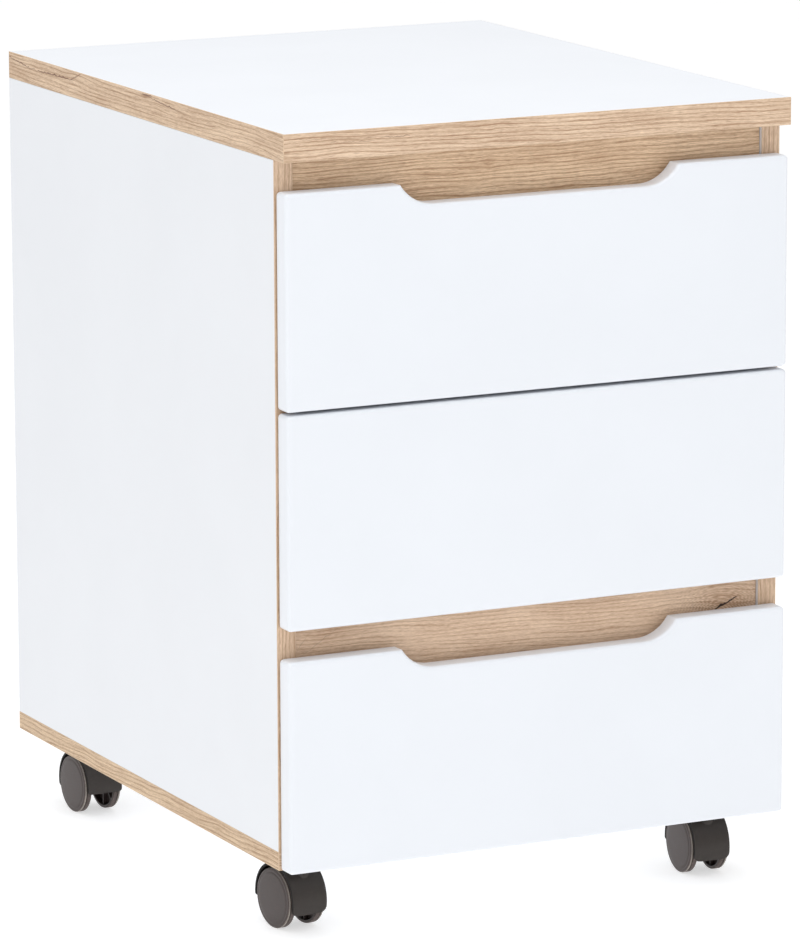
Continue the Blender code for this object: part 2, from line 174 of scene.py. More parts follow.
# Camera
CAMERA_PLACE = (-2.16905, -4.43435, 1.31456)
CAMERA_YAW = radians(26.156)
CAMERA_PITCH = radians(11.511)
CAMERA_ROLL = radians(-0.2045)
CAMERA_LENS = 233.436

DRAWERS = ("top", "middle", "lower")
CORNERS = ("front_left", "front_right", "rear_left", "rear_right")
SIDES = (("left", -1), ("right", 1))


# ----------------------------------------------------------
# Materials


def srgb(red, green, blue):
    """A linear colour from 0-255 display values."""

    def linear(value):
        value /= 255
        return value / 12.92 if value <= 0.04045 else ((value + 0.055) / 1.055) ** 2.4

    return (linear(red), linear(green), linear(blue), 1.0)


class Finish:
    """A material and short ways to build its node tree."""

    def __init__(self, name, colour, roughness, metallic=0.0):
        self.material = bpy.data.materials.new(name)
        self.material.use_nodes = True
        self.tree = self.material.node_tree
        self.shader = self.tree.nodes["Principled BSDF"]
        self.shader.inputs["Base Color"].default_value = colour
        self.shader.inputs["Roughness"].default_value = roughness
        self.shader.inputs["Metallic"].default_value = metallic
        self.place = self.node("ShaderNodeTexCoord").outputs["Object"]

    def node(self, kind, **settings):
        made = self.tree.nodes.new(kind)
        for key, value in settings.items():
            setattr(made, key, value)
        return made

    def feed(self, socket, value):
        if isinstance(value, bpy.types.NodeSocket):
            self.tree.links.new(value, socket)
        else:
            socket.default_value = value

    def math(self, operation, first, second=0.0, third=0.0, clamp=False):
        made = self.node("ShaderNodeMath", operation=operation, use_clamp=clamp)
        for socket, value in zip(made.inputs, (first, second, third)):
            self.feed(socket, value)
        return made.outputs[0]

    def stretched(self, scale, offset=(0.0, 0.0, 0.0)):
        """Object coordinates times a scale for each axis, plus an offset."""
        made = self.node("ShaderNodeVectorMath", operation="MULTIPLY_ADD")
        self.feed(made.inputs[0], self.place)
        made.inputs[1].default_value = scale
        made.inputs[2].default_value = offset
        return made.outputs[0]

    def noise(self, vector, scale=1.0, detail=3.0, roughness=0.55, distortion=0.0):
        made = self.node("ShaderNodeTexNoise")
        self.feed(made.inputs["Vector"], vector)
        made.inputs["Scale"].default_value = scale
        made.inputs["Detail"].default_value = detail
        made.inputs["Roughness"].default_value = roughness
        made.inputs["Distortion"].default_value = distortion
        return made.outputs["Fac"]

    def span(self, value, low, high, to_low=0.0, to_high=1.0, smooth=False):
        kind = "SMOOTHSTEP" if smooth else "LINEAR"
        made = self.node("ShaderNodeMapRange", interpolation_type=kind)
        values = (value, low, high, to_low, to_high)
        for socket, item in zip(made.inputs, values):
            self.feed(socket, item)
        return made.outputs[0]

    def mix(self, factor, first, second):
        made = self.node("ShaderNodeMix", data_type="RGBA")
        colours = [socket for socket in made.inputs if socket.type == "RGBA"]
        self.feed(made.inputs["Factor"], factor)
        self.feed(colours[0], first)
        self.feed(colours[1], second)
        return next(socket for socket in made.outputs if socket.type == "RGBA")

    def colour(self, value):
        self.feed(self.shader.inputs["Base Color"], value)

    def roughness(self, value):
        self.feed(self.shader.inputs["Roughness"], value)

    def bump(self, height, strength, distance):
        made = self.node("ShaderNodeBump")
        made.inputs["Strength"].default_value = strength
        made.inputs["Distance"].default_value = distance
        self.feed(made.inputs["Height"], height)
        self.feed(self.shader.inputs["Normal"], made.outputs[0])


def white_board(name, colour, roughness, pearl, strength):
    """Melamine or foil: faint cloudiness, a fine pearl in the gloss and a slight orange peel."""
    finish = Finish(name, colour, roughness)
    clouds = finish.noise(finish.place, 9.0, 3.0)
    shade = tuple(channel * 0.985 for channel in colour[:3]) + (1.0,)
    finish.colour(finish.mix(finish.span(clouds, 0.35, 0.65), colour, shade))
    grain = finish.noise(finish.place, pearl, 4.0, 0.6)
    finish.roughness(finish.span(grain, 0.3, 0.7, roughness - 0.04, roughness + 0.05))
    finish.bump(grain, strength, 0.0002)
    return finish.material


def crack_mask(finish, along, across, crack):
    """1 in a crack and 0 outside: a thin tapering line that wobbles along a sloping run."""
    middle, level, length, slope, width, _ = crack
    run = finish.math("SUBTRACT", along, middle)
    wobble = finish.node("ShaderNodeTexNoise", noise_dimensions="1D")
    finish.feed(wobble.inputs["W"], along)
    wobble.inputs["Scale"].default_value = CRACK_WOBBLE_SCALE
    wobble.inputs["Detail"].default_value = 4.0
    wander = finish.math("SUBTRACT", wobble.outputs["Fac"], 0.5)
    line = finish.math("MULTIPLY_ADD", run, slope, level)
    line = finish.math("MULTIPLY_ADD", wander, CRACK_WOBBLE, line)
    reach = finish.math("DIVIDE", finish.math("ABSOLUTE", run), length / 2)
    taper = finish.math("SUBTRACT", 1.0, finish.math("POWER", reach, 2.0), clamp=True)
    ragged = finish.math("MULTIPLY", taper, finish.span(wander, -0.2, 0.2, 0.5, 1.5))
    edge = finish.math("MULTIPLY", ragged, width / 2)
    gap = finish.math("ABSOLUTE", finish.math("SUBTRACT", across, line))
    inner, outer = finish.math("MULTIPLY", edge, 0.4), finish.math("ADD", edge, 0.05)
    return finish.span(gap, inner, outer, 1, 0)


def oak(
    name,
    axis,
    seed,
    slope=0.0,
    streaks=1.0,
    tint=(1, 1, 1),
    cracks=(),
    patches=(),
    eyes=(),
    crack_tone=(100, 54, 28),
):
    """Oak-look laminate with its grain along one axis (0, 1 or 2), in millimetres.

    The slope tilts the grain, streaks scales its contrast and tint scales its colour.

    A place is (along, level), where level is the sum of the other two axes. A crack is (along,
    level, length, slope, width, depth of tone). A patch is (along, level, half length, half
    height, bend of the grain, depth of tone), for knots and darker stretches. An eye is (along,
    level, reach, spacing): ripples round a knot.
    """
    finish = Finish(name, srgb(214, 186, 157), 0.5)
    split = finish.node("ShaderNodeSeparateXYZ")
    finish.feed(split.inputs[0], finish.stretched((1000.0, 1000.0, 1000.0)))
    along = split.outputs[axis]
    across = finish.math("ADD", *[split.outputs[i] for i in range(3) if i != axis])

    def offsets(middle, level, half_length, half_height):
        run = finish.math("DIVIDE", finish.math("SUBTRACT", along, middle), half_length)
        rise = finish.math("DIVIDE", finish.math("SUBTRACT", across, level), half_height)
        squares = finish.math("MULTIPLY_ADD", rise, rise, finish.math("MULTIPLY", run, run))
        return rise, squares

    grain = finish.math("MULTIPLY_ADD", along, slope, across)
    patch_darkening = 0.0
    for middle, level, half_length, half_height, bend, depth in patches:
        rise, squares = offsets(middle, level, half_length, half_height)
        swell = finish.math("EXPONENT", finish.math("MULTIPLY", squares, -1.0))
        push = finish.math("MULTIPLY", finish.math("MULTIPLY", swell, rise), -bend * half_height)
        grain = finish.math("ADD", grain, push)
        patch_darkening = finish.math("MULTIPLY_ADD", swell, depth, patch_darkening)

    def field(lengthwise, crosswise, detail, roughness=0.55, source=None):
        place = finish.node("ShaderNodeCombineXYZ")
        finish.feed(place.inputs[0], finish.math("MULTIPLY_ADD", along, lengthwise, seed))
        lift = finish.math("MULTIPLY_ADD", source or grain, crosswise, seed * 3.1)
        finish.feed(place.inputs[1], lift)
        return finish.noise(place.outputs[0], 1.0, detail, roughness)

    warped = finish.math("MULTIPLY_ADD", field(0.011, 0.035, 2.0), 9.0, grain)
    spacing = finish.math("MULTIPLY_ADD", field(0.006, 0.11, 2.0), 12.0, 0.0)
    wave = finish.math("SINE", finish.math("MULTIPLY_ADD", warped, RING_PITCH, spacing))
    lines = field(0.012, 0.95, 3.0, 0.7, warped)
    fibres = field(0.036, 2.3, 2.0, 0.65, warped)
    flecks = field(0.20, 2.5, 2.0, 0.6, warped)
    clouds = field(0.012, 0.045, 3.0)
    pores = finish.span(field(0.10, 2.4, 2.0, 0.5, warped), 0.59, 0.66)
    # narrow dark growth rings with a mean of nothing, stronger where the lines are dark
    narrow = finish.math("POWER", finish.math("MULTIPLY_ADD", wave, 0.5, 0.5), RING_POWER)
    rings = finish.math("MULTIPLY", finish.math("SUBTRACT", narrow, RING_MEAN), lines)

    def centred(value):
        return finish.math("SUBTRACT", value, 0.5)

    tone = finish.math("MULTIPLY", centred(lines), LINE_WEIGHT * streaks)
    tone = finish.math("MULTIPLY_ADD", rings, RING_WEIGHT * streaks, tone)
    tone = finish.math("MULTIPLY_ADD", centred(fibres), FIBRE_WEIGHT * streaks, tone)
    tone = finish.math("MULTIPLY_ADD", centred(flecks), FLECK_WEIGHT, tone)
    tone = finish.math("MULTIPLY_ADD", centred(clouds), CLOUD_WEIGHT, tone)
    for middle, level, reach, pitch in eyes:
        _, squares = offsets(middle, level, 1.0, 0.7)
        distance = finish.math("MULTIPLY_ADD", lines, 9.0, finish.math("SQRT", squares))
        ripple = finish.math("SINE", finish.math("MULTIPLY", distance, 2 * pi / pitch))
        fade = finish.math("EXPONENT", finish.math("MULTIPLY", squares, -1 / reach**2))
        ripple = finish.math("MULTIPLY", ripple, fade)
        tone = finish.math("MULTIPLY_ADD", ripple, RIPPLE_WEIGHT, tone)
    tone = finish.math("ADD", tone, patch_darkening)

    light = srgb(*(value * share for value, share in zip(OAK_LIGHT, tint)))
    dark = srgb(*(value * share for value, share in zip(OAK_DARK, tint)))
    base = finish.mix(finish.span(tone, -TONE_REACH, TONE_REACH), light, dark)
    pore_share = finish.math("MULTIPLY", pores, PORE_WEIGHT * streaks)
    base = finish.mix(pore_share, base, srgb(*OAK_PORE))
    height = finish.math("MULTIPLY_ADD", pores, 0.6, tone)
    for crack in cracks:
        mask = crack_mask(finish, along, across, crack)
        base = finish.mix(finish.math("MULTIPLY", mask, crack[-1]), base, srgb(*crack_tone))
        height = finish.math("MULTIPLY_ADD", mask, CRACK_BUMP, height)
    finish.colour(base)
    finish.roughness(finish.span(fibres, 0.3, 0.7, 0.44, 0.58))
    finish.bump(height, 0.30, -0.00025)
    return finish.material


def moulded(name, colour, roughness, worn=0.0, specular=0.5):
    """Moulded plastic with a spark-eroded skin and paler scuffs, the paler the more it is worn."""
    finish = Finish(name, colour, roughness)
    finish.shader.inputs["Specular IOR Level"].default_value = specular
    skin = finish.noise(finish.place, 2600.0, 3.0, 0.6)
    clouds = finish.noise(finish.place, 420.0, 4.0, 0.7)
    pale = tuple(min(1.0, channel * (1.25 + worn)) for channel in colour[:3]) + (1.0,)
    finish.colour(finish.mix(finish.span(clouds, 0.48, 0.72, 0.0, 0.8), colour, pale))
    finish.roughness(finish.span(clouds, 0.3, 0.7, roughness - 0.05, roughness + 0.08))
    finish.bump(skin, 0.25, 0.00012)
    return finish.material


def steel(name, colour, roughness, metallic, speckle):
    """Plated or powder-coated sheet: mottled gloss, faint drawing lines along the sheet."""
    finish = Finish(name, colour, roughness, metallic)
    mottled = finish.noise(finish.place, speckle, 4.0, 0.6)
    lines = finish.noise(finish.stretched((2500.0, 40.0, 2500.0)), 1.0, 2.0)
    tint = tuple(channel * 0.9 for channel in colour[:3]) + (1.0,)
    finish.colour(finish.mix(finish.span(mottled, 0.35, 0.7), colour, tint))
    blend = finish.math("MULTIPLY_ADD", lines, 0.4, finish.math("MULTIPLY", mottled, 0.6))
    finish.roughness(finish.span(blend, 0.3, 0.7, roughness - 0.08, roughness + 0.10))
    finish.bump(blend, 0.12, 0.0001)
    return finish.material


def hardboard(name, colour):
    """Painted hardboard: short fibres under a thin coat."""
    finish = Finish(name, colour, 0.55)
    fibres = finish.noise(finish.place, 700.0, 5.0, 0.7, 0.6)
    clouds = finish.noise(finish.place, 14.0, 3.0)
    shade = tuple(channel * 0.975 for channel in colour[:3]) + (1.0,)
    finish.colour(finish.mix(finish.span(clouds, 0.35, 0.7), colour, shade))
    finish.roughness(finish.span(fibres, 0.3, 0.7, 0.48, 0.62))
    finish.bump(fibres, 0.2, 0.0002)
    return finish.material


top_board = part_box("top_board")
rail_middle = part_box("rail_middle")
# levels of the oak faces, as the sum of the two axes across the grain, in millimetres
left_level = (top_board[0].x + top_board[1].z) / MM
front_level = (top_board[0].y + top_board[1].z) / MM
rail_level = rail_middle[0].y / MM  # a height in millimetres is added to it

MELAMINE = white_board("melamine", srgb(234, 236, 240), 0.40, 900.0, 0.05)
FOIL = white_board("front_foil", srgb(234, 237, 242), 0.32, 260.0, 0.03)
BOX_FOIL = white_board("drawer_foil", srgb(226, 227, 229), 0.42, 700.0, 0.08)
HARDBOARD = hardboard("white_hardboard", srgb(228, 229, 230))
OAK_LEFT = oak(
    "oak_band_left",
    1,
    1.7,
    slope=-0.012,
    tint=(0.995, 1.0, 0.99),
    cracks=(
        (245.0, left_level - 6.6, 60.0, 0.098, 1.0, 0.95),
        (205.0, left_level - 8.7, 34.0, 0.02, 0.6, 0.8),
        (166.0, left_level - 8.1, 78.0, -0.012, 1.3, 0.95),
        (128.5, left_level - 4.7, 28.0, -0.325, 0.9, 0.85),
        (-14.0, left_level - 1.6, 22.0, -0.01, 1.6, 0.85),
        (-49.0, left_level - 4.9, 66.0, 0.069, 1.0, 0.95),
    ),
    patches=(
        (165.0, left_level - 8.5, 26.0, 3.0, 0.2, 0.16),
        (-13.0, left_level - 2.2, 9.0, 2.4, 0.3, 0.3),
    ),
)
OAK_X = oak(
    "oak_band_front",
    0,
    5.3,
    slope=0.02,
    tint=(1.009, 1.015, 1.018),
    cracks=(
        (-125.0, front_level - 7.7, 24.0, -0.02, 0.75, 0.7),
        (-161.0, front_level - 9.4, 40.0, -0.03, 0.55, 0.5),
        (-200.0, front_level - 4.8, 40.0, -0.045, 0.5, 0.5),
    ),
)
OAK_Y = oak("oak_band_side", 1, 9.2, slope=0.03, tint=(0.985, 0.988, 0.955))
OAK_Z = oak("oak_band_upright", 2, 13.6, streaks=0.7)
OAK_RAIL_TOP = oak(
    "oak_rail_top",
    0,
    21.4,
    patches=(
        (-35.0, rail_level + 603.8, 4.5, 4.5, 0.4, 0.25),
        # darker towards the left end
        (-190.0, rail_level + 592.0, 60.0, 60.0, 0.0, 0.14),
    ),
    tint=(1.032, 1.025, 0.995),
)
OAK_RAIL_MIDDLE = oak(
    "oak_rail_middle",
    0,
    33.9,
    slope=0.03,
    streaks=0.6,
    cracks=(
        (175.0, rail_level + 233.0, 25.0, 0.42, 2.4, 1.0),
        (-198.5, rail_level + 238.2, 12.0, 1.2, 0.5, 0.4),
        (-182.0, rail_level + 239.5, 34.0, 0.62, 0.7, 0.3),
    ),
    patches=(
        (176.0, rail_level + 236.0, 24.0, 14.0, 0.5, 0.26),
        # darker towards the left end
        (-190.0, rail_level + 236.0, 60.0, 60.0, 0.0, 0.14),
    ),
    eyes=((170.0, rail_level + 227.0, 34.0, 2.8),),
    crack_tone=(44, 24, 18),
    tint=(1.04, 1.045, 1.055),
)
BAND_CORE = moulded("band_core", srgb(210, 183, 153), 0.50)
HOOD_PLASTIC = moulded("hood_plastic", srgb(52, 46, 42), 0.42, specular=0.35)
# near-black, low-gloss copy of the hood plastic: painted shade for the hood's side flanges and
# inner faces
HOOD_PAINTED_SHADE = moulded("hood_painted_shade", srgb(19, 16, 15), 0.55, specular=0.2)
WHEEL_PLASTIC = moulded("wheel_plastic", srgb(61, 50, 47), 0.44, 0.35)
# pale copy of the wheel plastic for the rim: a painted highlight on top of its real gloss
RIM_PAINTED_HIGHLIGHT = moulded("rim_painted_highlight", srgb(140, 132, 124), 0.20, 0.3)
TREAD_PLASTIC = moulded("tread_plastic", srgb(78, 67, 63), 0.60, 0.9)
NYLON = moulded("roller_nylon", srgb(232, 232, 228), 0.38)
POWDER_COAT = steel("powder_coat", srgb(228, 228, 226), 0.38, 0.0, 1500.0)
ZINC = steel("zinc_plate", srgb(190, 192, 196), 0.34, 1.0, 220.0)
SCREW_ZINC = steel("screw_zinc", srgb(176, 178, 184), 0.30, 1.0, 900.0)


# ----------------------------------------------------------
# Mesh tools


def cuboid(low, high, radius=0.0, segments=2, face=None, arris_slot=0):
    """A box with rounded edges: all of them, or only those of one face given as (axis, sign)."""
    low, high = Vector(low), Vector(high)
    bm = bmesh.new()
    bmesh.ops.create_cube(bm, size=1.0)
    bmesh.ops.scale(bm, vec=high - low, verts=bm.verts)
    bmesh.ops.translate(bm, vec=(low + high) / 2, verts=bm.verts)
    bm.normal_update()
    if radius:
        edges = list(bm.edges)
        if face:
            axis, sign = face
            level = high[axis] if sign > 0 else low[axis]
            edges = [e for e in edges if all(abs(v.co[axis] - level) < 1e-6 for v in e.verts)]
        round_edges(bm, edges, radius, segments, arris_slot)
        bm.normal_update()
    return bm


def round_edges(bm, edges, radius, segments=2, slot=-1):
    bmesh.ops.bevel(
        bm,
        geom=edges,
        offset=radius,
        segments=segments,
        profile=0.5,
        affect="EDGES",
        material=slot,
    )


def sharp_edges(bm, degrees=30.0, test=lambda edge: True):
    limit = radians(degrees)
    return [e for e in bm.edges if e.calc_face_angle(0.0) > limit and test(e)]


def loft(rings):
    """A solid skinned over closed rings of positions, with its first and last ring filled."""
    bm = bmesh.new()
    rings = [[bm.verts.new(place) for place in ring] for ring in rings]
    count = len(rings[0])
    bm.faces.new(rings[0])
    bm.faces.new(rings[-1][::-1])
    for first, second in zip(rings, rings[1:]):
        for i in range(count):
            j = (i + 1) % count
            bm.faces.new((first[i], second[i], second[j], first[j]))
    bmesh.ops.recalc_face_normals(bm, faces=bm.faces)
    return bm


def prism(points, place, start, end):
    """A closed outline pushed from start to end; place turns (u, v, w) into a position."""
    return loft([[place(u, v, w) for u, v in points] for w in (start, end)])


def lathe(profile, steps=64):
    """A solid turned about Z. The profile is (radius, height), and may start or end on the axis."""
    bm = bmesh.new()
    rings = []
    for radius, height in profile:
        if radius < 1e-7:
            rings.append([bm.verts.new((0.0, 0.0, height))])
            continue
        angles = [2 * pi * i / steps for i in range(steps)]
        rings.append([bm.verts.new((radius * cos(a), radius * sin(a), height)) for a in angles])
    closed = profile[0][0] > 1e-7
    pairs = list(zip(rings, rings[1:] + rings[:1])) if closed else list(zip(rings, rings[1:]))
    for first, second in pairs:
        for i in range(steps):
            j = (i + 1) % steps
            corners = [first[i % len(first)], first[j % len(first)]]
            corners += [second[j % len(second)], second[i % len(second)]]
            bm.faces.new(list(dict.fromkeys(corners)))
    bmesh.ops.recalc_face_normals(bm, faces=bm.faces)
    return bm


def as_mesh(name, bm):
    mesh = bpy.data.meshes.new(name)
    bm.to_mesh(mesh)
    bm.free()
    return mesh


def combined(first, second, operation):
    """The first mesh with the second joined to it or cut from it."""
    objects = [bpy.data.objects.new("working", mesh) for mesh in (first, second)]
    for obj in objects:
        bpy.context.scene.collection.objects.link(obj)
    modifier = objects[0].modifiers.new("working", "BOOLEAN")
    modifier.operation = operation
    modifier.solver = "EXACT"
    modifier.object = objects[1]
    bpy.context.view_layer.update()
    graph = bpy.context.evaluated_depsgraph_get()
    result = bpy.data.meshes.new_from_object(objects[0].evaluated_get(graph))
    for obj in objects:
        bpy.data.objects.remove(obj)
    return result


def piece(name, shape, body, material, replaces=(), matrix=None, sharp=32.0, even=True):
    """An object that rides on a body. A shape is a bmesh, or a mesh that several pieces share."""
    if isinstance(shape, bmesh.types.BMesh):
        bmesh.ops.recalc_face_normals(shape, faces=shape.faces)
        shape = as_mesh(name, shape)
    obj = bpy.data.objects.new(name, shape)
    bpy.context.scene.collection.objects.link(obj)
    if matrix:
        obj.matrix_world = matrix
    shape.shade_smooth()
    shape.set_sharp_from_angle(angle=radians(sharp))
    if material and not shape.materials:
        shape.materials.append(material)
    if even:
        normals = obj.modifiers.new("even_normals", "WEIGHTED_NORMAL")
        normals.keep_sharp = True
        normals.weight = 90
    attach(obj, body)
    if replaces:
        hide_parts(*replaces)
    return obj


def dress(node, material):
    """Give a CAD node that stays visible its finish."""
    obj = frame["nodes"][node]
    for index in range(max(1, len(obj.material_slots))):
        if not obj.material_slots:
            obj.data.materials.append(material)
        obj.material_slots[index].material = material


# ----------------------------------------------------------
# Carcass


def band(name, low, high, face, material):
    """An edge band: its face in oak, its arrises and its cut ends in the band's own colour."""
    strip = cuboid(low, high, BAND_ROUND, 3, face, arris_slot=1)
    axis = face[0]
    for cut in strip.faces:
        if cut.material_index == 0 and abs(cut.normal[axis]) < 0.5:
            cut.material_index = 1
    obj = piece(name, strip, "carcass", material)
    obj.data.materials.append(BAND_CORE)


def make_banded_board(node, side_oak):
    """A white board with an oak band on all four edges; the front and rear bands run through."""
    low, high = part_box(node)
    core_low = (low.x + BAND, low.y + BAND, low.z)
    core = cuboid(core_low, (high.x - BAND, high.y - BAND, high.z))
    piece(f"{node}_core", core, "carcass", MELAMINE, (node,))
    band(f"{node}_band_front", low, (high.x, low.y + BAND, high.z), (1, -1), OAK_X)
    band(f"{node}_band_rear", (low.x, high.y - BAND, low.z), high, (1, 1), OAK_X)
    for side, sign in SIDES:
        x_low, x_high = (low.x, low.x + BAND) if sign < 0 else (high.x - BAND, high.x)
        band(
            f"{node}_band_{side}",
            (x_low, low.y + BAND, low.z),
            (x_high, high.y - BAND, high.z),
            (0, sign),
            side_oak[side],
        )


def make_side_panel(side):
    """A side panel that meets the boards above and below it without the frame's clearance."""
    node = f"side_panel_{side}"
    low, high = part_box(node)
    foot, head = low.z - CLEARANCE, high.z + CLEARANCE
    core = cuboid((low.x, low.y + BAND, foot), (high.x, high.y, head), PANEL_ROUND, 2, (1, 1))
    piece(f"{node}_core", core, "carcass", MELAMINE, (node,))
    band(f"{node}_band_front", (low.x, low.y, foot), (high.x, low.y + BAND, head), (1, -1), OAK_Z)


def make_rail(node, material):
    low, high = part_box(node)
    rail = cuboid(low, high, PANEL_ROUND, 2)
    piece(f"{node}_board", rail, "carcass", material, (node,))


def make_carcass():
    make_banded_board("top_board", {"left": OAK_LEFT, "right": OAK_Y})
    make_banded_board("bottom_board", {"left": OAK_Y, "right": OAK_Y})
    for side, _ in SIDES:
        make_side_panel(side)
    make_rail("rail_top", OAK_RAIL_TOP)
    make_rail("rail_middle", OAK_RAIL_MIDDLE)
    dress("back_panel", HARDBOARD)


# ----------------------------------------------------------
# Drawers


def front_outline(low, high, notched):
    """Outline of a front in X and Z, counter-clockwise, with its corners rounded."""
    r = FRONT_CORNER_ROUND

    def corner(x, z, turn):
        angles = [pi / 2 * (turn + step / CORNER_STEPS) for step in range(CORNER_STEPS + 1)]
        return [(x + r * cos(a), z + r * sin(a)) for a in angles]

    points = corner(low.x + r, low.z + r, 2)
    points += corner(high.x - r, low.z + r, 3)
    points += corner(high.x - r, high.z - r, 0)
    if notched:
        reach = NOTCH_MOUTH - NOTCH_FLAT
        radius = (reach**2 + NOTCH_DEPTH**2) / (2 * NOTCH_DEPTH)
        sweep = asin(reach / radius)
        angles = [sweep * step / NOTCH_STEPS for step in range(NOTCH_STEPS + 1)]
        floor = high.z - NOTCH_DEPTH
        arc = [(NOTCH_FLAT + radius * sin(a), floor + radius * (1 - cos(a))) for a in angles]
        points += arc[::-1]
        points += [(-x, z) for x, z in arc]
    points += corner(low.x + r, high.z - r, 1)
    return points


def inset(points, distance):
    """The outline moved inwards by a distance, with each corner on its mitre."""
    moved = []
    for i, point in enumerate(points):
        here = Vector(point)
        before = (here - Vector(points[i - 1])).normalized()
        after = (Vector(points[(i + 1) % len(points)]) - here).normalized()
        normals = (Vector((-before.y, before.x)), Vector((-after.y, after.x)))
        mitre = (normals[0] + normals[1]) / (1 + normals[0].dot(normals[1]))
        moved.append(tuple(here + mitre * distance))
    return moved


def make_front(drawer, notched):
    """A foil-wrapped front, softly rounded all round its outer face and its notch."""
    node = f"drawer_{drawer}_front"
    low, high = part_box(node)
    outline = front_outline(low, high, notched)
    levels = []
    for step in range(FRONT_BACK_STEPS + 1):
        angle = pi / 2 * step / FRONT_BACK_STEPS
        depth = FRONT_BACK_ROUND * (1 - sin(angle))
        levels.append((depth, high.y - FRONT_BACK_ROUND * (1 - cos(angle))))
    for step in range(FRONT_STEPS + 1):
        angle = pi / 2 * step / FRONT_STEPS
        levels.append((FRONT_ROUND * (1 - cos(angle)), low.y + FRONT_ROUND * (1 - sin(angle))))
    bm = loft([[(x, y, z) for x, z in inset(outline, depth)] for depth, y in levels])
    piece(f"{node}_panel", bm, f"drawer_{drawer}", FOIL, (node,))


def make_cam(drawer, side, sign, x, y, z, level):
    """Cam fitting set in a drawer side's inner face, with its head just proud."""
    profile = [(0.0, 0.0004), (0.0062, 0.0004), (0.0073, 0.0002), (0.0075, -0.001), (0.0, -0.001)]
    turn = Matrix.Rotation(-sign * pi / 2, 4, "Y")
    name = f"drawer_{drawer}_cam_{side}_{level}"
    place = Matrix.Translation((x, y, z)) @ turn
    piece(name, lathe(profile, 32), f"drawer_{drawer}", ZINC, matrix=place)


def make_drawer_box(drawer):
    body = f"drawer_{drawer}"
    for side, sign in SIDES:
        node = f"{body}_side_{side}"
        low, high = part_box(node)
        wall = cuboid(low, high, BOX_ROUND, 3)
        piece(f"{node}_board", wall, body, BOX_FOIL, (node,))
        x_inner = low.x if sign > 0 else high.x
        for level, height in CAM_HEIGHTS:
            make_cam(drawer, side, sign, x_inner, low.y + CAM_FROM_FRONT, low.z + height, level)
    low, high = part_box(f"{body}_back")
    rear = cuboid(low, high, BOX_ROUND, 3)
    piece(f"{body}_back_board", rear, body, BOX_FOIL, (f"{body}_back",))
    dress(f"{body}_bottom", HARDBOARD)
    for side, sign in SIDES:
        wall_low, wall_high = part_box(f"{body}_side_{side}")
        x_outer = wall_high.x if sign > 0 else wall_low.x
        for level, height in BACK_SCREW_HEIGHTS:
            place = Matrix.Translation((x_outer, (low.y + high.y) / 2, wall_low.z + height))
            place = place @ Matrix.Rotation(sign * pi / 2, 4, "Y")
            name = f"{body}_back_screw_{side}_{level}"
            piece(name, FLUSH_SCREW, body, None, matrix=place)


# ----------------------------------------------------------
# Runners and their rollers


def make_screw(head_radius, head_height, flush=False):
    """A pan or flush head with a cross recess, about Z, with its seat at height 0."""
    rise = 0.0002 if flush else head_height
    shoulder = 0.00005 if flush else head_height * 0.35
    steps = 8
    dome = []
    for step in range(steps + 1):
        angle = pi / 2 * step / steps
        dome.append((head_radius * sin(angle), shoulder + (rise - shoulder) * cos(angle)))
    foot = -0.0004
    head = as_mesh("screw_head", lathe(dome + [(head_radius, foot), (0.0, foot)], 40))
    depth = rise - min(0.0011, head_height * 0.75)
    for long_axis in (0, 1):
        half = [head_radius * 0.13, head_radius * 0.13]
        half[long_axis] = head_radius * 0.52
        slot = cuboid((-half[0], -half[1], max(depth, foot + 0.0001)), (half[0], half[1], 0.01))
        head = combined(head, as_mesh("slot", slot), "DIFFERENCE")
    head.materials.clear()
    head.materials.append(SCREW_ZINC)
    return head


PAN_SCREW = make_screw(0.0031, 0.0016)
FLUSH_SCREW = make_screw(0.0034, 0.0016, flush=True)
SMALL_SCREW = make_screw(0.0027, 0.0012)


def runner_sections(x_drawer, x_cabinet, z_centre, sign):
    """Sections of the cabinet's channel and of the drawer's member, in X and Z."""
    out_web = abs(x_cabinet - x_drawer) - CLEARANCE
    in_web = out_web - SHEET
    lip = CHANNEL_LOWER_LIP
    ledge = ROLLER_RADIUS - FRONT_ROLLER_DROP + CLEARANCE
    foot = -RUNNER_LIFT - CLEARANCE
    half = CHANNEL_HALF
    channel = [
        (lip, -half),
        (out_web, -half),
        (out_web, half),
        (CHANNEL_UPPER_LIP, half),
        (CHANNEL_UPPER_LIP, half - SHEET),
        (in_web, half - SHEET),
        (in_web, SHEET - half),
        (lip + SHEET, SHEET - half),
        (lip + SHEET, CHANNEL_LIP_TOP),
        (lip, CHANNEL_LIP_TOP),
    ]
    rider = [
        (MEMBER_FOOT, foot - SHEET),
        (CLEARANCE + SHEET, foot - SHEET),
        (CLEARANCE + SHEET, ledge),
        (MEMBER_LEDGE, ledge),
        (MEMBER_LEDGE, ledge + SHEET),
        (CLEARANCE, ledge + SHEET),
        (CLEARANCE, foot),
        (MEMBER_FOOT, foot),
    ]

    def placed(points):
        return [(sign * (abs(x_drawer) + out), z_centre + up) for out, up in points]

    return placed(channel), placed(rider)


def make_member(name, section, start, end, body, node):
    bm = prism(section, lambda x, z, y: (x, y, z), start, end)
    long_edges = sharp_edges(bm, 30.0, lambda e: abs(e.verts[0].co.y - e.verts[1].co.y) > 0.1)
    round_edges(bm, long_edges, MEMBER_ROUND, 2)
    piece(name, bm, body, POWDER_COAT, (node,))


def roller_mesh():
    """A nylon roller about Z with rounded rims, a recessed web and a bored hub."""
    half = ROLLER_HALF
    profile = [
        (0.0023, half),
        (0.0042, half),
        (0.0046, half - 0.0008),
        (0.0064, half - 0.0008),
        (0.0067, half),
        (0.0074, half),
        (0.0078, half - 0.0002),
        (ROLLER_RADIUS, half - 0.0007),
    ]
    mirrored = [(radius, -height) for radius, height in reversed(profile)]
    mesh = as_mesh("roller", lathe(profile + mirrored, 64))
    mesh.materials.append(NYLON)
    return mesh


ROLLER = roller_mesh()


